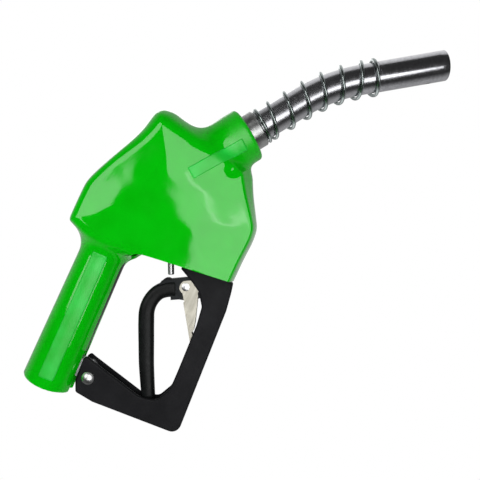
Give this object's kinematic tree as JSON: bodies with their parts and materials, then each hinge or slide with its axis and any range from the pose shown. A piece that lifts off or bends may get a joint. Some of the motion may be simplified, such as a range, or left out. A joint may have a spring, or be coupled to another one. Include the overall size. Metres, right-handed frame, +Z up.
{
  "type": "fuel nozzle",
  "caption": "Automatic shut-off diesel nozzle with scuff cover, hand guard, squeeze lever, hold-open clip, bent spout and anchor spring.",
  "frame": {"origin": "centre of the hose inlet's mouth, at the foot of the handle", "axes": "+Z up the handle's axis away from the hose, +X from the handle towards the lever, guard and spout, Y across; XZ is the middle plane"},
  "size_m": [0.2292, 0.0578, 0.3665],
  "materials": {
    "casting": "as-cast, machined faces",
    "green_vinyl": "glossy dip-moulded vinyl",
    "black_vinyl": "satin vinyl",
    "guard_nylon": "fine grained moulded nylon",
    "polished_steel": "polished",
    "spout_metal": "drawn, bright",
    "collar_metal": "turned",
    "spring_steel": "zinc plated wire",
    "clip_steel": "stamped stainless sheet",
    "lever_paint": "satin black enamel",
    "brass": "machined",
    "machined_steel": "machined",
    "seal_rubber": "moulded nitrile",
    "packing": "ptfe rings"
  },
  "bodies": {
    "body": {"body_casting": "casting", "scuff_cover": "green_vinyl", "grip_strip": "black_vinyl", "hand_guard": "guard_nylon", "guard_pin": "polished_steel", "guard_screw": "machined_steel", "inlet_strainer": "machined_steel", "body_cap": "casting", "cap_gasket": "seal_rubber", "valve_seat_ring": "brass", "stem_packing": "packing", "packing_nut": "brass", "spout_tube": "spout_metal", "spout_collar": "collar_metal", "spout_o_rings": "seal_rubber", "spout_set_screw": "machined_steel", "anchor_spring": "spring_steel", "vent_tube": "brass", "sensing_port": "machined_steel", "venturi_seat": "brass", "spring_retainer": "machined_steel", "diaphragm_cap": "casting", "diaphragm": "seal_rubber", "diaphragm_cap_screws": "machined_steel", "plunger_bushing": "brass", "latch_ring": "machined_steel", "main_spring": "spring_steel", "trip_spring": "spring_steel", "diaphragm_spring": "spring_steel", "check_spring": "spring_steel"},
    "main_valve": {"poppet": "machined_steel", "poppet_seal": "seal_rubber", "valve_stem": "machined_steel", "poppet_nut": "brass"},
    "trip": {"trip_plunger": "machined_steel", "pivot_pin": "machined_steel", "pivot_clips": "machined_steel"},
    "latch": {"latch_pin": "machined_steel", "latch_balls": "machined_steel"},
    "lever": {"lever": "lever_paint", "lever_grip": "black_vinyl", "lever_pad": "guard_nylon"},
    "clip": {"hold_open_clip": "clip_steel", "clip_rivet": "polished_steel", "clip_spring": "spring_steel"},
    "check": {"check_poppet": "machined_steel", "check_o_ring": "seal_rubber"}
  },
  "joints": [
    {"name": "trip_drop", "type": "slide", "parent": "body", "child": "trip", "axis": [0.4226, 0, -0.9063], "range_m": [0, 0.006], "stiffness_N_per_m": 1500, "springref_m": -0.004, "deforming": ["trip_spring"]},
    {"name": "latch_lift", "type": "slide", "parent": "body", "child": "latch", "axis": [-0.4226, 0, 0.9063], "range_m": [0, 0.002], "deforming": ["diaphragm_spring"]},
    {"name": "lever_squeeze", "type": "hinge", "parent": "trip", "child": "lever", "pos_m": [0.08997, 0, 0.11797], "axis": [0, 1, 0], "range_deg": [0, 18], "stiffness_Nm_per_rad": 0.6, "springref_deg": -17.19},
    {"name": "valve_lift", "type": "slide", "parent": "body", "child": "main_valve", "axis": [-0.4226, 0, 0.9063], "range_m": [0, 0.0086], "deforming": ["main_spring"]},
    {"name": "clip_swing", "type": "hinge", "parent": "lever", "child": "clip", "pos_m": [0.071, 0, 0.112], "axis": [0, 1, 0], "range_deg": [-12, 8], "stiffness_Nm_per_rad": 0.02},
    {"name": "check_open", "type": "slide", "parent": "body", "child": "check", "axis": [0.5736, 0, 0.8192], "range_m": [0, 0.005], "stiffness_N_per_m": 200, "springref_m": -0.005, "deforming": ["check_spring"]}
  ],
  "couplings": [
    {"joint": "valve_lift", "follows": "lever_squeeze", "m_per_rad": 0.02706},
    {"joint": "latch_lift", "follows": "trip_drop", "ratio": 0.33333}
  ]
}
